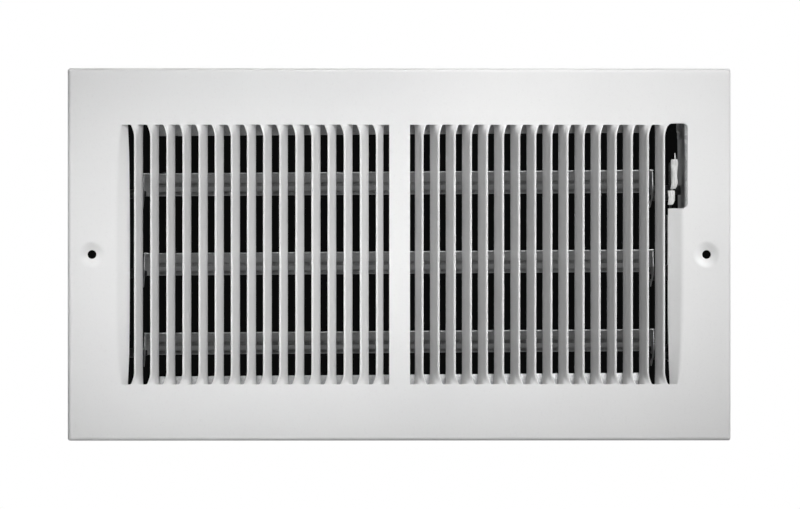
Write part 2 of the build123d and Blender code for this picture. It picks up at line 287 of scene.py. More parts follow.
# roll-over strip
for k in range(4):
    a0, a1 = math.pi / 2 * k / 4, math.pi / 2 * (k + 1) / 4
    def strip(a):
        d, y = ROLL_OVER * (1 - math.sin(a)), FRONT + ROLL_OVER * (1 - math.cos(a))
        row = grown(pocket_edge, d)
        row[0] = (right_fold[-1][0], POCKET_Z0 - d)
        return face.add([(x, y, z) for x, z in row])
    face.bridge(strip(a0), strip(a1), closed=False)
rolled = face.add([(x, FRONT + ROLL_OVER, z) for x, z in pocket_edge])
under = face.add([(x, BACK, z) for x, z in pocket_edge])
face.bridge(rolled, under, closed=False)


def wall(line):
    a = face.add([(x, FRONT, z) for x, z in line])
    b = face.add([(x, BACK, z) for x, z in line])
    face.bridge(a, b, closed=False)


wall([(-MULLION, SLOT_Z), (-MULLION, -SLOT_Z)])
wall([(MULLION, SLOT_Z), (MULLION, -SLOT_Z)])
# slot ends beside the necks
for side in (-1, 1):
    for top in (-1, 1):
        for k in range(FIN_COUNT + 1):
            lo = MULLION if k == 0 else EDGES[k - 1] + NECK_OUT
            hi = crease_at(SLOT_Z) + bend_start(SLOT_Z) if k == FIN_COUNT else EDGES[k] + NECK_OUT - NECK
            if side > 0 and top > 0 and k == FIN_COUNT:
                hi = pocket_edge[-1][0]
            wall([(side * lo, top * SLOT_Z), (side * hi, top * SLOT_Z)])

# turned edge
profile = [(EDGE_R, FRONT)]
for i in range(1, 9):
    a = math.pi / 2 * i / 8
    profile.append((EDGE_R - EDGE_R * math.sin(a), FRONT + EDGE_R - EDGE_R * math.cos(a)))
profile += [(0.0, -4.0), (0.0, -0.3), (0.09, -0.09), (0.3, 0.0), (0.5, 0.0), (0.71, -0.09), (0.8, -0.3), (0.8, -4.0)]
inner_r = EDGE_R - SHEET
for i in range(0, 7):
    a = math.pi / 2 * (1 - i / 6)
    profile.append((EDGE_R - inner_r * math.sin(a), BACK + inner_r - inner_r * math.cos(a)))
rows = [
    face.add([(x, y, z) for x, z in rounded_rect(FACE_W / 2 - d, FACE_H / 2 - d, max(CORNER_R - d * (CORNER_R - CORNER_IN) / EDGE_R, CORNER_IN))])
    for d, y in profile
]
for a, b in zip(rows, rows[1:]):
    face.bridge(a, b)

# dimples with their screw holes
for side in (-1, 1):
    rows = []
    for i in range(11):
        t = i / 10
        r = lerp(DIMPLE_R + 0.2, HOLE_R + 0.25, t)
        rows.append((r, FRONT + DIMPLE_DEPTH * smooth(t * 0.86 + 0.0) / smooth(0.86)))
    rows += [(HOLE_R + 0.08, FRONT + DIMPLE_DEPTH + 0.07), (HOLE_R, FRONT + DIMPLE_DEPTH + 0.22), (HOLE_R, BACK + DIMPLE_DEPTH)]
    for i in range(8):
        t = 1 - i / 7
        r = lerp(DIMPLE_R + 0.2, HOLE_R + 0.25, t)
        rows.append((r, BACK + DIMPLE_DEPTH * smooth(t * 0.86) / smooth(0.86)))
    ids = [face.add([(x, y, z) for x, z in circle(side * HOLE_X, r)]) for r, y in rows]
    for a, b in zip(ids, ids[1:]):
        face.bridge(a, b)


# fins
def fin_rows():
    s = [0.0, 0.25, 0.5, 0.9, 1.4, 2.0, 2.7, 3.5, 4.4, 5.4, 6.6, 8.0, 10.0, 14.0, 24.0, 40.0, 56.0]
    return [-SLOT_Z + v for v in s] + [SLOT_Z - v for v in reversed(s)]


def share_at(s):
    """How far a fin is turned at distance s from its end."""
    return math.sin(math.pi / 2 * min(1.0, s / 6.6)) * smooth(min(1.0, 0.55 + s / 2.0))


def fin_line(edge, s, flare, off=0.0):
    """Middle line of a fin's section at distance s from its end."""
    w = share_at(s)
    a = FIN_ANGLE + math.radians(off)
    y0 = FRONT + SHEET / 2
    end = (
        (edge + NECK_OUT + flare, y0),
        (edge + NECK_OUT - CURL, y0),
        (edge + NECK_OUT - NECK, y0),
        (edge + NECK_OUT - NECK - (FIN_WIDTH - NECK) * math.cos(a), y0 + (FIN_WIDTH - NECK) * math.sin(a)),
    )
    xf = edge - SHEET / 2 * math.sin(a)
    yf = FRONT - FIN_PROUD + SHEET / 2
    c = a - CURL_ANGLE
    xc, yc = xf - CURL_IN - CURL * math.cos(c), yf + CURL * math.sin(c) + 0.1
    full = (
        (xf - CURL_IN, yf + 0.1),
        (xc, yc),
        (lerp(xc, xf - FIN_WIDTH * math.cos(a), 0.4), lerp(yc, yf + FIN_WIDTH * math.sin(a), 0.4)),
        (xf - FIN_WIDTH * math.cos(a), yf + FIN_WIDTH * math.sin(a)),
    )
    return [(lerp(p[0], q[0], w), lerp(p[1], q[1], w)) for p, q in zip(end, full)]


def shortened(line, d):
    """The middle line pulled in by d at both ends, so that rounded edges end where the square ones would."""
    (ax, ay), (bx, by) = line[0], line[1]
    n = math.hypot(bx - ax, by - ay)
    first = (ax + (bx - ax) / n * d, ay + (by - ay) / n * d)
    (ax, ay), (bx, by) = line[-1], line[-2]
    n = math.hypot(bx - ax, by - ay)
    last = (ax + (bx - ax) / n * d, ay + (by - ay) / n * d)
    return [first] + list(line[1:-1]) + [last]


def make_fin(edge, side, corner=False, off=0.0):
    rings = []
    for z in fin_rows():
        s = SLOT_Z - abs(z)
        flare = 0.0
        if s < 0.5:
            flare = 0.5 - math.sqrt(max(0.0, 0.25 - (0.5 - s) ** 2))
        if corner and z > 0 and s + 0.6 < POCKET_R:
            flare = max(flare, POCKET_R - math.sqrt(POCKET_R**2 - (POCKET_R - s - 0.6) ** 2))
        line = shortened(fin_line(edge, s, flare, off), SHEET / 2 * 0.55)
        outline = thick_strip(bent(line, 1.1, 5), SHEET, cap=5)
        rings.append(face.add([(side * x, y, z) for x, y in outline]))
    for a, b in zip(rings, rings[1:]):
        face.bridge(a, b)
    face.cap(rings[0])
    face.cap(rings[-1], flip=True)


# the fins are not all turned quite alike, and the innermost are turned further
TURN = {
    -1: (5.5, -0.4, 0.3, 0.9, -0.7, 0.2, 1.1, 0.8, -0.3, -0.9, -0.6, -0.8, 1.0, 0.7, 1.2, 0.9),
    1: (5.5, 1.0, -0.6, 0.1, -0.8, -0.3, 0.7, 1.1, 0.6, -0.7, 0.0, -0.5, 1.2, 0.6, 1.3, 0.2),
}
for side in (-1, 1):
    for k, e in enumerate(EDGES):
        make_fin(e, side, side > 0 and k == FIN_COUNT - 1, TURN[side][k])


# half fins
def make_half(side, levels):
    front_rows, back_rows = [], []
    for z in levels:
        c, b = crease_at(z), bend_start(z)
        done = (c - CREASE[0][1]) / (CREASE[-1][1] - CREASE[0][1])
        e = lerp(HALF_EDGE[side][0], HALF_EDGE[side][1], done)
        dx, dy = e - c, HALF_DEPTH
        n = math.hypot(dx, dy)
        p0, p1, p2 = (c + b, FRONT), (c, FRONT), (c + dx / n * b, FRONT + dy / n * b)
        pts = []
        for i in range(7):
            t = i / 6
            pts.append(tuple((1 - t) ** 2 * p0[d] + 2 * t * (1 - t) * p1[d] + t * t * p2[d] for d in (0, 1)))
        pts += [(lerp(p2[0], e, t), lerp(p2[1], FRONT + HALF_DEPTH, t)) for t in (0.3, 0.65, 1.0)]
        back = []
        for i, p in enumerate(pts):
            q0, q1 = pts[max(0, i - 1)], pts[min(len(pts) - 1, i + 1)]
            ex, ey = q1[0] - q0[0], q1[1] - q0[1]
            m = math.hypot(ex, ey)
            if i == 0:
                ex, ey, m = -1.0, 0.0, 1.0
            back.append((p[0] + SHEET * ey / m, p[1] - SHEET * ex / m))
        front_rows.append(face.add([(side * x, y, z) for x, y in pts]))
        back_rows.append(face.add([(side * x, y, z) for x, y in back]))
    for a, b in zip(front_rows, front_rows[1:]):
        face.bridge(a, b, closed=False)
    for a, b in zip(back_rows, back_rows[1:]):
        face.bridge(a, b, closed=False)
    # free edge and the two cut ends
    face.bridge([r[-1] for r in front_rows], [r[-1] for r in back_rows], closed=False)
    face.bridge(front_rows[0], back_rows[0], closed=False)
    face.bridge(front_rows[-1], back_rows[-1], closed=False)


make_half(-1, HALF_ROWS)
make_half(1, low_rows)
# the short step of sheet between the right half fin's upper end and the pocket's lower edge
x0, x1 = right_fold[-1][0], right_fold[-1][0]
a = face.add([(x0, FRONT, POCKET_Z0 - ROLL_OVER), (x0, BACK, POCKET_Z0 - ROLL_OVER)])
b = face.add([(x0, FRONT + ROLL_OVER, POCKET_Z0), (x0, BACK, POCKET_Z0)])
face.face((a[0], b[0], b[1], a[1]))

# tabs, bent back and then outward through the end plates
for side, z in TABS:
    e = HALF_EDGE[side][1] + 0.7
    path = bent([(e, FRONT + HALF_DEPTH - 0.1), (e, TAB_Y + SHEET / 2), (PLATE_X + GAUGE + 1.2, TAB_Y + SHEET / 2)], 0.9, 5)
    rings = []
    outline = thick_strip(path, SHEET, cap=2)
    for dz in (-3.5, 3.5):
        rings.append(face.add([(side * x, y, z + dz) for x, y in outline]))
    face.bridge(rings[0], rings[1])
    face.cap(rings[0])
    face.cap(rings[1], flip=True)

face_plate = face.make("face_plate", sharp=42.0, flat_area=1.0)


# ------------------------------------------------------------------ thumb lever
LINK_X, LINK_T, LEVER_T = 144.0, 1.0, 1.2
LINK_Y = 28.1 - 10 * math.cos(math.radians(22))
RIVET_Z = (36.6, 44.0)
UP = math.sin(ROLL) * 143.5          # how far the crooked damper lifts the pad
IN = math.sin(ROLL) * 40.0
PAD_X = 0.55

lever = Sheet()


def lever_step(left, right, depth, thick, rows):
    """A thumb step: outline given as left and right edges by height (as seen), front surface by depth(t)."""
    def at(table, z):
        for (za, xa), (zb, xb) in zip(table, table[1:]):
            if za >= z >= zb:
                return lerp(xa, xb, smooth((za - z) / (za - zb)))
        return table[-1][1]
    z_top, z_low = left[0][0], left[-1][0]
    n = 9
    rings = []
    for i in range(rows + 1):
        t = i / rows
        z = lerp(z_top, z_low, t)
        xl, xr = at(left, z), at(right, z)
        y = depth(t)
        pinch = min(1.0, 0.25 + 3.2 * min(t, 1 - t) * rows / 6)
        ring = []
        for k in range(n + 1):
            u = k / n
            crown = 0.38 * (1 - (2 * u - 1) ** 4) * pinch
            flute = 0.07 * math.cos(2 * math.pi * 2.5 * u) * pinch
            ring.append((PAD_X + lerp(xl, xr, u), y + 0.38 - crown - flute, z))
        for k in range(n, -1, -1):
            u = k / n
            ring.append((PAD_X + lerp(xl, xr, lerp(0.06, 0.94, u)), y + 0.38 + thick * (0.7 + 0.3 * pinch), z))
        rings.append(lever.add(ring))
    for a, b in zip(rings, rings[1:]):
        lever.bridge(a, b)
    lever.cap(rings[0])
    lever.cap(rings[-1], flip=True)


def step_profile(y_top, y_low, ripple, count):
    return lambda t: lerp(y_top, y_low, t) + ripple * math.sin(2 * math.pi * count * t)


lever_step(
    [(50.2, 142.95), (46.0, 142.7), (43.4, 142.85), (42.2, 143.2), (40.6, 142.75), (37.7, 142.9), (35.6, 142.5), (34.6, 142.2)],
    [(50.2, 146.1), (48.3, 146.5), (44.0, 146.05), (40.8, 146.0), (37.7, 146.2), (36.2, 145.8), (34.6, 145.0)],
    step_profile(-6.9, -8.5, 0.10, 2.0), 1.1, 34,
)
lever_step(
    [(33.7, 141.0), (31.8, 141.15), (30.1, 141.4), (28.0, 141.15), (26.2, 140.95)],
    [(33.7, 144.6), (31.5, 144.7), (28.7, 144.65), (27.0, 144.1), (26.2, 143.4)],
    step_profile(-7.0, -8.5, 0.08, 1.0), 1.1, 20,
)
# thin stem above the steps, and the web behind them
for x0, x1, y0, y1, z0, z1, top in ((145.1, 145.9, -6.9, -5.7, 49.4, 53.6, 0.55), (143.2, 144.4, -6.6, -5.2, 27.4, 49.8, 1.0)):
    rings = []
    for i in range(9):
        t = i / 8
        k = lerp(1.0, top, smooth(t))
        cx, cy = (x0 + x1) / 2 - 0.5 * (1 - top) * t, (y0 + y1) / 2
        hw, hd = (x1 - x0) / 2 * k, (y1 - y0) / 2 * k
        rings.append(lever.add([(cx + px, cy + py, lerp(z0, z1, t)) for px, py in rounded_rect(hw, hd, min(hw, hd) * 0.6, 3)]))
    for a, b in zip(rings, rings[1:]):
        lever.bridge(a, b)
    lever.cap(rings[0])
    lever.cap(rings[-1], flip=True)
lever_pad_points = len(lever.points)
# arm: flat on the link bar and straight forward into the pocket
ARM_X = LINK_X + LINK_T + LEVER_T / 2
arm = [(ARM_X, LINK_Y + 2.2), (ARM_X, 12.0), (ARM_X, 4.0), (ARM_X, -5.8)]
outline = thick_strip(arm, LEVER_T, cap=4)
rings = []
for dz, inset in ((0.0, 0.18), (0.18, 0.0), (12.02, 0.0), (12.2, 0.18)):
    ring = outline if inset == 0 else thick_strip(arm, LEVER_T - 2 * inset, cap=4)
    rings.append(lever.add([(x - IN, y, 34.6 + UP + dz) for x, y in ring]))
for a, b in zip(rings, rings[1:]):
    lever.bridge(a, b)
lever.cap(rings[0])
lever.cap(rings[-1], flip=True)
thumb = lever.make("thumb_lever_pad", sharp=50.0)


# ------------------------------------------------------------------ damper: bent sheet, turned pins
CROOKED = Matrix.Rotation(-ROLL, 4, "Y")
PIVOT_Y, PIVOT_Z = 28.1, (33.0, -9.0, -51.0)
CRANK, CRANK_REST = 10.0, math.radians(-22.0)
LINK_Z = [z + CRANK * math.sin(CRANK_REST) for z in PIVOT_Z]
PLATE_Z, PLATE_Y1, PLATE_FLANGE, PLATE_FLANGE_Z, LIP_Z = 75.0, 52.0, 5.0, 71.5, 58.0
RAIL_Y0, RAIL_Y1, RAIL_Z_IN, RAIL_FLANGE_X = 0.8, 50.0, 63.6, 130.6
BLADE_T, HEM, BLADE_W, BLADE_A, BLADE_DROP, BLADE_X = 0.5, 0.4, 50.0, 29.0, 4.0, 134.5
BLADE_TILT = math.radians(-13.4)
BEADS, BEAD_HALF, BEAD_DEEP = (23.5, 42.5), 1.0, 1.5


def run(sheet, outline, where, stops):
    """A closed outline carried through the stops; where(p, q, stop) gives a point."""
    rings = [sheet.add([where(p, q, s) for p, q in outline]) for s in stops]
    for a, b in zip(rings, rings[1:]):
        sheet.bridge(a, b)
    sheet.cap(rings[0])
    sheet.cap(rings[-1], flip=True)


def flat_piece(sheet, loops, t, where, ease=0.12):
    """A flat plate of thickness t, its outer edges eased; where(u, v, w) gives a point, w from 0 to t."""
    def eased(loop, d, outward):
        n = len(loop)
        area = sum(loop[i][0] * loop[(i + 1) % n][1] - loop[(i + 1) % n][0] * loop[i][1] for i in range(n))
        sign = (1 if area > 0 else -1) * (-1 if outward else 1)
        out = []
        for i in range(n):
            a, b, c = loop[i - 1], loop[i], loop[(i + 1) % n]
            def unit(p, q):
                m = math.hypot(q[0] - p[0], q[1] - p[1]) or 1.0
                return (q[0] - p[0]) / m, (q[1] - p[1]) / m
            u, v = unit(a, b), unit(b, c)
            n1, n2 = (-u[1] * sign, u[0] * sign), (-v[1] * sign, v[0] * sign)
            k = d / max(0.3, 1 + n1[0] * n2[0] + n1[1] * n2[1])
            out.append((b[0] + k * (n1[0] + n2[0]), b[1] + k * (n1[1] + n2[1])))
        return out
    for w, flip in ((0.0, False), (t, True)):
        cut = [eased(loop, ease, i > 0) for i, loop in enumerate(loops)]
        ids = []
        for loop in cut:
            ids += sheet.add([where(u, v, w) for u, v in loop])
        for tri in tessellate_polygon([[Vector((u, v, 0)) for u, v in loop] for loop in cut]):
            sheet.face([ids[k] for k in tri])
    for i, loop in enumerate(loops):
        cut = eased(loop, ease, i > 0)
        rows = [
            sheet.add([where(u, v, w) for u, v in line])
            for line, w in ((cut, 0.0), (loop, ease), (loop, t - ease), (cut, t))
        ]
        for a, b in zip(rows, rows[1:]):
            sheet.bridge(a, b)


def pin(sheet, profile, y, z, n=28):
    """Turned about x: profile lists x and radius from one end to the other."""
    rings = []
    for x, r in profile:
        rings.append(sheet.add([(x, y + r * math.cos(2 * math.pi * i / n), z + r * math.sin(2 * math.pi * i / n)) for i in range(n)]))
    for a, b in zip(rings, rings[1:]):
        sheet.bridge(a, b)
    sheet.cap(rings[0])
    sheet.cap(rings[-1], flip=True)


def domed(x0, x1, r):
    """Half profile of a domed head from its seat x0 to its top x1."""
    h = x1 - x0
    return [(x0, r * 0.97), (x0 + h * 0.12, r), (x0 + h * 0.42, r * 0.97), (x0 + h * 0.68, r * 0.86), (x0 + h * 0.87, r * 0.62), (x0 + h * 0.97, r * 0.32), (x1, r * 0.10)]


pieces = []


def rail_piece(top, name):
    r = Sheet()
    mid = PLATE_Z - GAUGE / 2
    angle = bent([(RAIL_Y1, mid), (RAIL_Y0 + GAUGE / 2, mid), (RAIL_Y0 + GAUGE / 2, RAIL_Z_IN + 0.1)], 1.3, 6)
    run(r, thick_strip(angle, GAUGE, cap=3), lambda p, q, s: (s, p, top * q), (-RAIL_FLANGE_X, RAIL_FLANGE_X))
    for side in (-1, 1):
        x0, x1 = RAIL_FLANGE_X, PLATE_X - 2.2
        flat_piece(r, [[(x0, RAIL_Y0), (x1, RAIL_Y0), (x1, RAIL_Y1), (x0, RAIL_Y1)]], GAUGE,
                   lambda u, v, w: (side * u, v, top * (PLATE_Z - w)), 0.02)
        for y0, y1 in ((RAIL_Y0, 13.5), (40.5, RAIL_Y1)):
            flat_piece(r, [[(x1, y0), (PLATE_X - 0.03, y0), (PLATE_X - 0.03, y1), (x1, y1)]], GAUGE,
                       lambda u, v, w: (side * u, v, top * (PLATE_Z - w)), 0.02)
        tab = bent([(x1, mid), (PLATE_X - GAUGE / 2 - 0.02, mid), (PLATE_X - GAUGE / 2 - 0.02, 60.0)], 1.3, 6)
        run(r, thick_strip(tab, GAUGE, cap=1), lambda p, q, s: (side * p, s, top * q), (14.0, 40.0))
    pieces.append((r.make(name + "_sheet", turn=CROOKED), name, "frame", "galvanised"))


rail_piece(1, "top_rail")
rail_piece(-1, "bottom_rail")


def plate_piece(side, name):
    e = Sheet()
    mid = PLATE_X + GAUGE / 2
    fy, ly = BACK + 2.0, PLATE_Y1 - 2.0
    lip_top = LIP_Z if side < 0 else 20.0        # no lip behind the lever pocket
    rim = [
        (fy, -PLATE_FLANGE_Z), (RAIL_Y0, -PLATE_FLANGE_Z), (RAIL_Y0, -PLATE_Z), (PLATE_Y1, -PLATE_Z), (PLATE_Y1, -LIP_Z), (ly, -LIP_Z),
        (ly, lip_top), (PLATE_Y1, lip_top), (PLATE_Y1, PLATE_Z), (RAIL_Y0, PLATE_Z), (RAIL_Y0, PLATE_FLANGE_Z), (fy, PLATE_FLANGE_Z),
    ]
    loops = [rim]
    for s, z in TABS:
        if s == side:
            zc = z - side * math.sin(ROLL) * PLATE_X
            loops.append([(TAB_Y - 0.25, zc - 3.9), (TAB_Y + SHEET + 0.25, zc - 3.9), (TAB_Y + SHEET + 0.25, zc + 3.9), (TAB_Y - 0.25, zc + 3.9)])
    flat_piece(e, loops, GAUGE, lambda u, v, w: (side * (PLATE_X + w), u, v), 0.02)
    flange = bent([(PLATE_X + PLATE_FLANGE, BACK + GAUGE / 2), (mid, BACK + GAUGE / 2), (mid, fy)], 1.55, 8)
    run(e, thick_strip(flange, GAUGE, cap=1), lambda p, q, s: (side * p, q, s), (-PLATE_FLANGE_Z, PLATE_FLANGE_Z))
    lip = bent([(mid, ly), (mid, PLATE_Y1 - GAUGE / 2), (PLATE_X - 6.0, PLATE_Y1 - GAUGE / 2)], 1.55, 8)
    run(e, thick_strip(lip, GAUGE, cap=1), lambda p, q, s: (side * p, q, s), (-LIP_Z, lip_top))
    pieces.append((e.make(name + "_sheet", turn=CROOKED), name, "frame", "galvanised"))


plate_piece(-1, "left_end_plate")
plate_piece(1, "right_end_plate")


def blade_piece(pz, name):
    b = Sheet()
    c, sn = math.cos(BLADE_TILT), math.sin(BLADE_TILT)

    def place(x, s, h):
        y, z = s - BLADE_A, h + BLADE_DROP
        return (x, PIVOT_Y + y * c - z * sn, pz + y * sn + z * c)

    def sheet_line(fade, hem):
        t = BLADE_T
        low = -(t / 2 + HEM / 2)
        line = []
        if hem:
            r = -low / 2
            nose = t / 2 + r - 0.02
            line += [(4.5, low), (2.5, low)]
            for i in range(9):
                a = math.pi / 2 + math.pi * i / 8
                line.append((nose + r * math.cos(a), -r - r * math.sin(a)))
            line = [line[0], line[1]] + [(p, q) for p, q in line[2:]]
        else:
            line.append((0.3, 0.0))
        s = 2.0
        stops = [2.0, 8.0, 15.0]
        for bead in BEADS:
            stops += [bead - BEAD_HALF + 2 * BEAD_HALF * i / 12 for i in range(13)]
            stops += [bead + 6.0]
        stops.append(BLADE_W - 0.1)
        for s in sorted(v for v in stops if v <= BLADE_W):
            h = 0.0
            for bead in BEADS:
                d = abs(s - bead)
                if d < BEAD_HALF:
                    h -= BEAD_DEEP * fade * math.cos(math.pi / 2 * d / BEAD_HALF) ** 1.3
            line.append((s, h))
        return line

    xs = [-131.5, -130.7, -130.0, -129.3, -128.5, -64.0, 0.0, 64.0, 128.5, 129.3, 130.0, 130.7, 131.5]
    rings = []
    for x in xs:
        outline = thick_strip(sheet_line(smooth((131.2 - abs(x)) / 2.7), True), 0.44, cap=3)
        rings.append(b.add([place(x, s, h) for s, h in outline]))
    for p, q in zip(rings, rings[1:]):
        b.bridge(p, q)
    b.cap(rings[0])
    b.cap(rings[-1], flip=True)
    for side in (-1, 1):
        run(b, thick_strip([(0.3, 0.0), (BLADE_W - 0.1, 0.0)], 0.44, cap=3), lambda p, q, s: place(side * s, p, q), (131.4, 133.0))
        mid = BLADE_X - BLADE_T / 2
        bend = bent([(132.9, 0.0), (mid, 0.0), (mid, -2.0)], 0.9, 6)
        run(b, thick_strip(bend, 0.46, cap=1), lambda p, q, s: place(side * p, s, q), (1.5, 36.0))
        for s0, s1 in ((0.1, 1.5), (36.0, BLADE_W - 0.1)):
            run(b, thick_strip([(132.9, 0.0), (BLADE_X - 0.1, 0.0)], 0.44, cap=3), lambda p, q, s: place(side * p, s, q), (s0, s1))
        tall = 11.0 if side < 0 else 12.6
        rim = [(1.5, -2.0), (1.5, -tall + 5.0)]
        rim += [(6.5 + 5.0 * math.cos(math.radians(180 + 90 * i / 8)), -tall + 5.0 + 5.0 * math.sin(math.radians(180 + 90 * i / 8))) for i in range(1, 9)]
        rim += [(31.0 + 5.0 * math.cos(math.radians(270 + 90 * i / 8)), -tall + 5.0 + 5.0 * math.sin(math.radians(270 + 90 * i / 8))) for i in range(9)]
        rim += [(36.0, -2.0)]
        loops = [rim]
        holes = [(BLADE_A, -BLADE_DROP, 1.55)]
        if side > 0:
            a = CRANK_REST + BLADE_TILT
            holes.append((BLADE_A - CRANK * math.cos(a), -BLADE_DROP + CRANK * math.sin(a), 1.36))
        for hs, hh, r in holes:
            loops.append([(hs + r * math.cos(2 * math.pi * i / 24), hh + r * math.sin(2 * math.pi * i / 24)) for i in range(24)])
        flat_piece(b, loops, 0.46, lambda u, v, w: place(side * (mid - 0.23 + w), u, v), 0.03)
    pieces.append((b.make(name + "_sheet", turn=CROOKED), name, name, "galvanised"))


for pz, name in zip(PIVOT_Z, ("top_blade", "middle_blade", "bottom_blade")):
    blade_piece(pz, name)

# pins, rivets and washers
for side, name in ((-1, "left"), (1, "right")):
    s = Sheet()
    shoulder = 135.4 if side > 0 else 134.9
    for z in PIVOT_Z:
        prof = [(132.4, 0.9), (132.5, 1.3), (132.75, 1.5), (shoulder, 1.5), (shoulder, 2.3), (shoulder + 0.2, 2.5), (PLATE_X, 2.5)]
        prof += [(PLATE_X, 2.0), (PLATE_X + GAUGE, 2.0)] + domed(PLATE_X + GAUGE, PLATE_X + GAUGE + 0.6, 3.2)
        pin(s, [(side * x, r) for x, r in prof], PIVOT_Y, z)
    pieces.append((s.make("pins_" + name, turn=CROOKED), "pivot_pins_" + name, "frame", "dark_steel"))

s = Sheet()
for side in (-1, 1):
    for top in (-1, 1):
        for y in (20.0, 34.0):
            inner = [(2 * (PLATE_X - GAUGE) - x, r) for x, r in domed(PLATE_X - GAUGE, PLATE_X - GAUGE + 0.8, 3.0)]
            prof = inner[::-1] + [(PLATE_X - GAUGE, 1.6), (PLATE_X + GAUGE, 1.6)] + domed(PLATE_X + GAUGE, PLATE_X + GAUGE + 0.6, 3.0)
            pin(s, [(side * x, r) for x, r in prof], y, top * 66.0)
pieces.append((s.make("rivets", turn=CROOKED), "frame_rivets", "frame", "zinc_plate"))

s = Sheet()
for z in PIVOT_Z:
    prof = [(134.85, 1.56), (134.8, 1.62), (134.8, 2.72), (134.87, 2.8), (135.03, 2.8), (135.1, 2.72), (135.1, 1.62), (135.05, 1.56)]
    rings = []
    for x, r in prof:
        rings.append(s.add([(x, PIVOT_Y + r * math.cos(2 * math.pi * i / 32), z + r * math.sin(2 * math.pi * i / 32)) for i in range(32)]))
    for a, b in zip(rings, rings[1:] + rings[:1]):
        s.bridge(a, b)
pieces.append((s.make("washers", turn=CROOKED), "spring_washers", "frame", "dark_steel"))

s = Sheet()
half_z = (47.5 - (LINK_Z[2] - 3.5)) / 2
mid_z = (47.5 + LINK_Z[2] - 3.5) / 2
rows = []
for x, d in ((LINK_X, 0.18), (LINK_X + 0.18, 0.0), (LINK_X + LINK_T - 0.18, 0.0), (LINK_X + LINK_T, 0.18)):
    rows.append(s.add([(x, LINK_Y + y, mid_z + z) for y, z in rounded_rect(3.0 - d, half_z - d, 2.6 - d, 8)]))
for a, b in zip(rows, rows[1:]):
    s.bridge(a, b)
s.cap(rows[0])
s.cap(rows[-1], flip=True)
pieces.append((s.make("link_strip", turn=CROOKED), "link_bar", "link", "dark_steel"))

s = Sheet()
for z in LINK_Z:
    inner = [(2 * 133.5 - x, r) for x, r in domed(133.5, 134.2, 2.3)]
    prof = inner[::-1] + [(133.5, 1.3), (BLADE_X + 0.3, 1.3), (BLADE_X + 0.3, 1.85), (BLADE_X + 0.45, 2.0), (LINK_X, 2.0), (LINK_X, 1.3), (LINK_X + LINK_T, 1.3)]
    pin(s, prof + domed(LINK_X + LINK_T, LINK_X + LINK_T + 0.8, 2.2), LINK_Y, z)
pieces.append((s.make("link_studs", turn=CROOKED), "link_pins", "link", "dark_steel"))

s = Sheet()
x2 = LINK_X + LINK_T + LEVER_T
for z in RIVET_Z:
    pin(s, [(LINK_X, 0.9), (LINK_X, 1.2), (x2, 1.2)] + domed(x2, x2 + 0.7, 2.1), LINK_Y, z)
pieces.append((s.make("lever_studs", turn=CROOKED), "lever_rivets", "link", "zinc_plate"))


# ------------------------------------------------------------------ materials
def new_material(name):
    m = bpy.data.materials.new(name)
    m.use_nodes = True
    nt = m.node_tree
    for n in list(nt.nodes):
        nt.nodes.remove(n)
    out = nt.nodes.new("ShaderNodeOutputMaterial")
    bsdf = nt.nodes.new("ShaderNodeBsdfPrincipled")
    nt.links.new(bsdf.outputs["BSDF"], out.inputs["Surface"])
    coord = nt.nodes.new("ShaderNodeTexCoord")
    return m, nt, bsdf, coord.outputs["Object"]


def noise(nt, vec, scale, detail=4.0, rough=0.55, dim="3D"):
    n = nt.nodes.new("ShaderNodeTexNoise")
    n.noise_dimensions = dim
    n.inputs["Scale"].default_value = scale
    n.inputs["Detail"].default_value = detail
    n.inputs["Roughness"].default_value = rough
    nt.links.new(vec, n.inputs["Vector"])
    return n


def ramp(nt, fac, stops):
    r = nt.nodes.new("ShaderNodeValToRGB")
    nt.links.new(fac, r.inputs["Fac"])
    els = r.color_ramp.elements
    while len(els) > len(stops):
        els.remove(els[-1])
    while len(els) < len(stops):
        els.new(0.5)
    for el, (p, v) in zip(els, stops):
        el.position = p
        el.color = (*v, 1.0) if isinstance(v, tuple) else (v, v, v, 1.0)
    return r.outputs["Color"]


def mix(nt, fac, a, b, mode="MIX"):
    m = nt.nodes.new("ShaderNodeMix")
    m.data_type = "RGBA"
    m.blend_type = mode
    for sock, val in ((m.inputs[0], fac), (m.inputs[6], a), (m.inputs[7], b)):
        if isinstance(val, (int, float)):
            sock.default_value = val
        elif isinstance(val, tuple):
            sock.default_value = (*val, 1.0)
        else:
            nt.links.new(val, sock)
    return m.outputs[2]


def math_node(nt, op, a, b=None):
    m = nt.nodes.new("ShaderNodeMath")
    m.operation = op
    for sock, val in ((m.inputs[0], a), (m.inputs[1], b)):
        if val is None:
            continue
        if isinstance(val, (int, float)):
            sock.default_value = val
        else:
            nt.links.new(val, sock)
    return m.outputs[0]


def bump(nt, height, strength, distance, normal=None):
    b = nt.nodes.new("ShaderNodeBump")
    b.inputs["Strength"].default_value = strength
    b.inputs["Distance"].default_value = distance
    nt.links.new(height, b.inputs["Height"])
    if normal is not None:
        nt.links.new(normal, b.inputs["Normal"])
    return b.outputs["Normal"]


def stretched(nt, vec, sx, sy, sz):
    m = nt.nodes.new("ShaderNodeMapping")
    m.inputs["Scale"].default_value = (sx, sy, sz)
    nt.links.new(vec, m.inputs["Vector"])
    return m.outputs["Vector"]


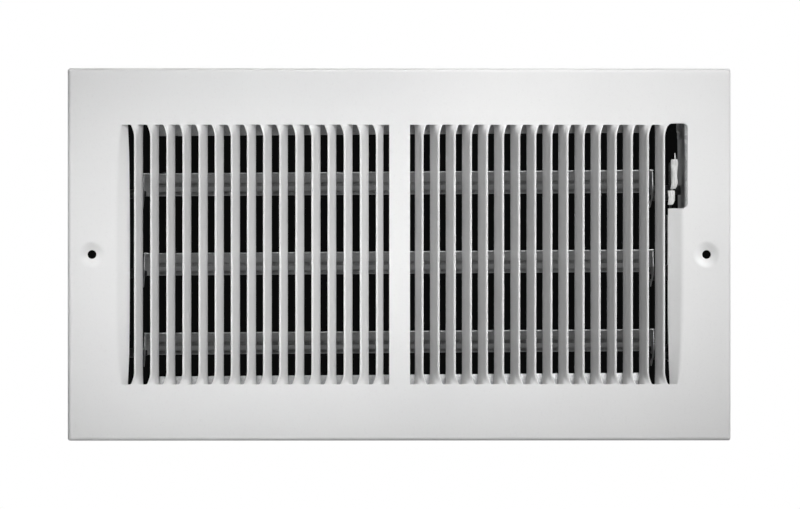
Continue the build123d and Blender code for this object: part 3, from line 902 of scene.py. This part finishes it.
def white_paint():
    m, nt, p, vec = new_material("white_powder_coat")
    cloud = noise(nt, vec, 14.0, 3.0, 0.5)
    fine = noise(nt, vec, 900.0, 3.0, 0.6)
    base = ramp(nt, cloud.outputs["Fac"], [(0.3, (0.775, 0.775, 0.775)), (0.7, (0.80, 0.80, 0.798))])
    speck = ramp(nt, fine.outputs["Fac"], [(0.30, 0.93), (0.42, 1.0)])
    nt.links.new(mix(nt, 0.5, base, speck, "MULTIPLY"), p.inputs["Base Color"])
    rough = ramp(nt, cloud.outputs["Fac"], [(0.3, 0.38), (0.7, 0.46)])
    nt.links.new(rough, p.inputs["Roughness"])
    p.inputs["Specular IOR Level"].default_value = 0.45
    peel = noise(nt, vec, 420.0, 2.0, 0.5)
    wave = noise(nt, vec, 16.0, 1.0, 0.4)
    n1 = bump(nt, wave.outputs["Fac"], 0.10, 0.004)
    nt.links.new(bump(nt, peel.outputs["Fac"], 0.08, 0.0004, n1), p.inputs["Normal"])
    return m


def galvanised():
    m, nt, p, vec = new_material("galvanised_sheet")
    cells = nt.nodes.new("ShaderNodeTexVoronoi")
    cells.inputs["Scale"].default_value = 210.0
    warp = noise(nt, vec, 90.0, 2.0, 0.5)
    shifted = mix(nt, 0.012, vec, warp.outputs["Color"], "LINEAR_LIGHT")
    nt.links.new(shifted, cells.inputs["Vector"])
    grey = ramp(nt, cells.outputs["Color"], [(0.0, (0.36, 0.365, 0.37)), (1.0, (0.60, 0.605, 0.61))])
    grime = noise(nt, vec, 45.0, 5.0, 0.62)
    fine = noise(nt, vec, 1100.0, 3.0, 0.6)
    dust = ramp(nt, grime.outputs["Fac"], [(0.35, 0.72), (0.68, 1.0)])
    grain = ramp(nt, fine.outputs["Fac"], [(0.30, 0.70), (0.62, 1.0)])
    c = mix(nt, 0.75, grey, dust, "MULTIPLY")
    c = mix(nt, 0.8, c, grain, "MULTIPLY")
    nt.links.new(c, p.inputs["Base Color"])
    p.inputs["Metallic"].default_value = 0.62
    r = ramp(nt, cells.outputs["Color"], [(0.0, 0.34), (1.0, 0.56)])
    nt.links.new(r, p.inputs["Roughness"])
    n1 = bump(nt, cells.outputs["Distance"], 0.08, 0.0006)
    nt.links.new(bump(nt, fine.outputs["Fac"], 0.12, 0.0002, n1), p.inputs["Normal"])
    return m


def zinc():
    m, nt, p, vec = new_material("zinc_plated_steel")
    blot = noise(nt, vec, 320.0, 4.0, 0.6)
    fine = noise(nt, stretched(nt, vec, 400.0, 2600.0, 2600.0), 1.0, 3.0, 0.6)
    c = ramp(nt, blot.outputs["Fac"], [(0.3, (0.50, 0.505, 0.50)), (0.55, (0.68, 0.68, 0.665)), (0.75, (0.60, 0.585, 0.55))])
    nt.links.new(c, p.inputs["Base Color"])
    p.inputs["Metallic"].default_value = 0.95
    nt.links.new(ramp(nt, fine.outputs["Fac"], [(0.3, 0.24), (0.7, 0.44)]), p.inputs["Roughness"])
    nt.links.new(bump(nt, fine.outputs["Fac"], 0.10, 0.0002), p.inputs["Normal"])
    return m


def dark_steel():
    m, nt, p, vec = new_material("phosphated_steel")
    blot = noise(nt, vec, 420.0, 4.0, 0.6)
    fine = noise(nt, stretched(nt, vec, 500.0, 2400.0, 2400.0), 1.0, 3.0, 0.6)
    c = ramp(nt, blot.outputs["Fac"], [(0.3, (0.035, 0.035, 0.036)), (0.55, (0.06, 0.06, 0.06)), (0.75, (0.10, 0.097, 0.092))])
    nt.links.new(c, p.inputs["Base Color"])
    p.inputs["Metallic"].default_value = 0.3
    nt.links.new(ramp(nt, fine.outputs["Fac"], [(0.3, 0.5), (0.7, 0.68)]), p.inputs["Roughness"])
    p.inputs["Specular IOR Level"].default_value = 0.3
    nt.links.new(bump(nt, fine.outputs["Fac"], 0.12, 0.0002), p.inputs["Normal"])
    return m


def lever_metal():
    m, nt, p, vec = new_material("bright_plated_lever")
    streak = noise(nt, stretched(nt, vec, 1500.0, 1500.0, 130.0), 1.0, 4.0, 0.65)
    blot = noise(nt, vec, 260.0, 3.0, 0.5)
    c = ramp(nt, streak.outputs["Fac"], [(0.34, (0.44, 0.44, 0.435)), (0.52, (0.60, 0.60, 0.595)), (0.7, (0.70, 0.70, 0.695))])
    c = mix(nt, 0.5, c, ramp(nt, blot.outputs["Fac"], [(0.35, 0.86), (0.6, 1.0)]), "MULTIPLY")
    nt.links.new(c, p.inputs["Base Color"])
    p.inputs["Metallic"].default_value = 0.12
    nt.links.new(ramp(nt, streak.outputs["Fac"], [(0.3, 0.62), (0.7, 0.48)]), p.inputs["Roughness"])
    p.inputs["Specular IOR Level"].default_value = 0.35
    nt.links.new(bump(nt, streak.outputs["Fac"], 0.18, 0.0003), p.inputs["Normal"])
    return m


paint, galv, plated, black, bright = white_paint(), galvanised(), zinc(), dark_steel(), lever_metal()


def dress(obj, material):
    obj.data.materials.clear()
    obj.data.materials.append(material)


dress(face_plate, paint)
dress(thumb, bright)
for name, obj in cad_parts.items():
    if name in ("frame_rivets", "lever_rivets"):
        dress(obj, plated)
    elif name in ("pivot_pins_left", "pivot_pins_right", "spring_washers", "link_pins", "link_bar"):
        dress(obj, black)
    elif name == "face_grille":
        dress(obj, paint)
    elif name == "thumb_lever":
        dress(obj, bright)
    else:
        dress(obj, galv)

for obj, node, body, slot_name in pieces:
    dress(obj, {"galvanised": galv, "zinc_plate": plated, "dark_steel": black}[slot_name])
    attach(obj, body)
    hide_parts(node)
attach(face_plate, "frame")
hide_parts("face_grille")
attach(thumb, "link")
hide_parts("thumb_lever")


# ------------------------------------------------------------------ stage: floor, and dark cards of painted shade behind the damper and the screw holes
def plane(name, points, material):
    mesh = bpy.data.meshes.new(name)
    mesh.from_pydata(points, [], [tuple(range(len(points)))])
    mesh.materials.append(material)
    obj = bpy.data.objects.new(name, mesh)
    bpy.context.scene.collection.objects.link(obj)
    return obj


fm, nt, p, vec = new_material("pale_floor")
n = noise(nt, vec, 3.0, 3.0, 0.5)
nt.links.new(ramp(nt, n.outputs["Fac"], [(0.3, 0.80), (0.7, 0.84)]), p.inputs["Base Color"])
p.inputs["Roughness"].default_value = 0.8
pale = nt.nodes.new("ShaderNodeEmission")
nt.links.new(ramp(nt, n.outputs["Fac"], [(0.3, 0.66), (0.7, 0.70)]), pale.inputs["Color"])
path = nt.nodes.new("ShaderNodeLightPath")
sh = nt.nodes.new("ShaderNodeMixShader")
nt.links.new(math_node(nt, "MULTIPLY", path.outputs["Is Camera Ray"], 0.9), sh.inputs[0])
nt.links.new(p.outputs[0], sh.inputs[1])
nt.links.new(pale.outputs[0], sh.inputs[2])
nt.links.new(sh.outputs[0], [n for n in nt.nodes if n.type == "OUTPUT_MATERIAL"][0].inputs["Surface"])
floor_points = [(3.2 * math.cos(2 * math.pi * i / 64), 3.2 * math.sin(2 * math.pi * i / 64), -0.62) for i in range(64)]
plane("floor", floor_points, fm)

# painted shade: a near-black card that only camera rays see, and only from its front side, so the gaps between fins
# and blades look dark; it throws no light or shadow
cm = bpy.data.materials.new("painted_shade_card")
cm.use_nodes = True
nt = cm.node_tree
for n in list(nt.nodes):
    nt.nodes.remove(n)
out = nt.nodes.new("ShaderNodeOutputMaterial")
dark = nt.nodes.new("ShaderNodeEmission")
dark.inputs["Color"].default_value = (1, 1, 1, 1)
dark.inputs["Strength"].default_value = 0.003
clear = nt.nodes.new("ShaderNodeBsdfTransparent")
path = nt.nodes.new("ShaderNodeLightPath")
geo = nt.nodes.new("ShaderNodeNewGeometry")
front = math_node(nt, "SUBTRACT", 1.0, geo.outputs["Backfacing"])
shown = math_node(nt, "MULTIPLY", front, path.outputs["Is Camera Ray"])
sh = nt.nodes.new("ShaderNodeMixShader")
nt.links.new(shown, sh.inputs[0])
nt.links.new(clear.outputs[0], sh.inputs[1])
nt.links.new(dark.outputs[0], sh.inputs[2])
nt.links.new(sh.outputs[0], out.inputs["Surface"])
cw, ch = 0.1512, 0.0750
turn = Matrix.Rotation(-ROLL, 4, "Y")


def painted_shade_card(name, x0, x1, y, z0, z1, m=Matrix.Identity(4)):
    return plane(name, [tuple(m @ Vector(q)) for q in ((x0, y, z0), (x1, y, z0), (x1, y, z1), (x0, y, z1))], cm)


# the large painted-shade card stands behind the damper, the two small ones behind the screw holes
painted_shade_card("painted_shade_card", -cw, cw, 0.0521, -ch, ch, turn)
painted_shade_card("painted_shade_card_left", -0.1735, -0.1535, -0.0006, -0.02, 0.02)
painted_shade_card("painted_shade_card_right", 0.1535, 0.1735, -0.0006, -0.02, 0.02)


# ------------------------------------------------------------------ light
scene = bpy.context.scene
world = bpy.data.worlds.new("studio")
scene.world = world
world.use_nodes = True
nt = world.node_tree
for n in list(nt.nodes):
    nt.nodes.remove(n)
out = nt.nodes.new("ShaderNodeOutputWorld")
seen = nt.nodes.new("ShaderNodeBackground")
seen.inputs["Color"].default_value = (1, 1, 1, 1)
seen.inputs["Strength"].default_value = 1.0
lit = nt.nodes.new("ShaderNodeBackground")
coord = nt.nodes.new("ShaderNodeTexCoord")
sep = nt.nodes.new("ShaderNodeSeparateXYZ")
nt.links.new(coord.outputs["Generated"], sep.inputs[0])
behind = nt.nodes.new("ShaderNodeMapRange")
nt.links.new(sep.outputs["Y"], behind.inputs["Value"])
behind.inputs["From Min"].default_value = -0.4
behind.inputs["From Max"].default_value = 0.5
behind.inputs["To Min"].default_value = 0.03
behind.inputs["To Max"].default_value = 0.05
nt.links.new(behind.outputs[0], lit.inputs["Strength"])
lit.inputs["Color"].default_value = (1, 1, 1, 1)
path = nt.nodes.new("ShaderNodeLightPath")
sh = nt.nodes.new("ShaderNodeMixShader")
nt.links.new(path.outputs["Is Camera Ray"], sh.inputs[0])
nt.links.new(lit.outputs[0], sh.inputs[1])
nt.links.new(seen.outputs[0], sh.inputs[2])
nt.links.new(sh.outputs[0], out.inputs["Surface"])


def softbox(name, at, aim, size, power, size_y=None):
    data = bpy.data.lights.new(name, "AREA")
    data.shape = "RECTANGLE"
    data.size = size
    data.size_y = size_y or size
    data.energy = power
    obj = bpy.data.objects.new(name, data)
    obj.location = at
    obj.rotation_euler = (Vector(aim) - Vector(at)).to_track_quat("-Z", "Y").to_euler()
    obj.visible_camera = False
    bpy.context.scene.collection.objects.link(obj)
    return obj


def spot(name, at, aim, radius, angle, power):
    data = bpy.data.lights.new(name, "SPOT")
    data.shadow_soft_size = radius
    data.spot_size = math.radians(angle)
    data.spot_blend = 1.0
    data.energy = power
    obj = bpy.data.objects.new(name, data)
    obj.location = at
    obj.rotation_euler = (Vector(aim) - Vector(at)).to_track_quat("-Z", "Y").to_euler()
    obj.visible_camera = False
    bpy.context.scene.collection.objects.link(obj)
    return obj


def round_object(d, az, el):
    """The place d metres from the object, az degrees to the right of straight ahead and el degrees up."""
    a, e = math.radians(az), math.radians(el)
    return (d * math.cos(e) * math.sin(a), -0.008 - d * math.cos(e) * math.cos(a), d * math.sin(e))


softbox("key", round_object(1.6, 15, 25), (0, 0, 0.02), 0.50, 4.7)
softbox("key_near", round_object(0.75, 28, 25), (0, 0, 0.02), 0.30, 1.4)
spot("left_mid", round_object(1.6, -30, 26), (-0.086, -0.008, 0.015), 0.12, 8.0, 72.0)
spot("left_end", round_object(1.4, -20, 15), (-0.17, -0.008, -0.02), 0.12, 9.0, 46.0)
spot("left_top", round_object(1.6, -40, 25), (-0.17, -0.008, 0.08), 0.12, 7.0, 22.0)
spot("left_low", round_object(1.6, -10, -5), (-0.15, -0.008, -0.10), 0.12, 7.0, 16.0)
spot("right_mid", round_object(1.6, 30, 26), (0.095, -0.008, 0.015), 0.12, 8.0, 66.0)
spot("right_cross", round_object(1.6, 28, 26), (-0.035, -0.008, 0.015), 0.12, 8.0, 34.0)
spot("right_end", round_object(1.6, 40, 25), (0.165, -0.008, 0.01), 0.12, 9.0, 34.0)
spot("right_low", round_object(1.6, 14, 4), (0.16, -0.008, -0.10), 0.12, 7.0, 15.0)
spot("above", round_object(1.6, 5, 40), (0.05, -0.008, 0.09), 0.12, 12.0, 34.0)
softbox("back", (-0.9, 1.3, 0.9), (0, 0, 0), 0.8, 9.0)
softbox("back_side", (1.2, 1.0, 0.7), (0, 0, 0), 0.8, 6.0)

# ------------------------------------------------------------------ camera: the photograph's straight-on view
YAW = math.radians(2.2)
DIST = 8.0
cam = bpy.data.cameras.new("camera")
cam_obj = bpy.data.objects.new("camera", cam)
bpy.context.scene.collection.objects.link(cam_obj)
aim = Vector((0.0002, FRONT * MM, 0.0))
cam_obj.location = aim + Vector((-math.sin(YAW), -math.cos(YAW), 0)) * DIST
cam_obj.rotation_euler = (aim - cam_obj.location).to_track_quat("-Z", "Y").to_euler()
cam.sensor_width = 36.0
cam.lens = 36.0 * DIST / 0.4214
cam.clip_end = 50.0
scene.camera = cam_obj
scene.view_settings.view_transform = "Standard"
scene.view_settings.look = "None"
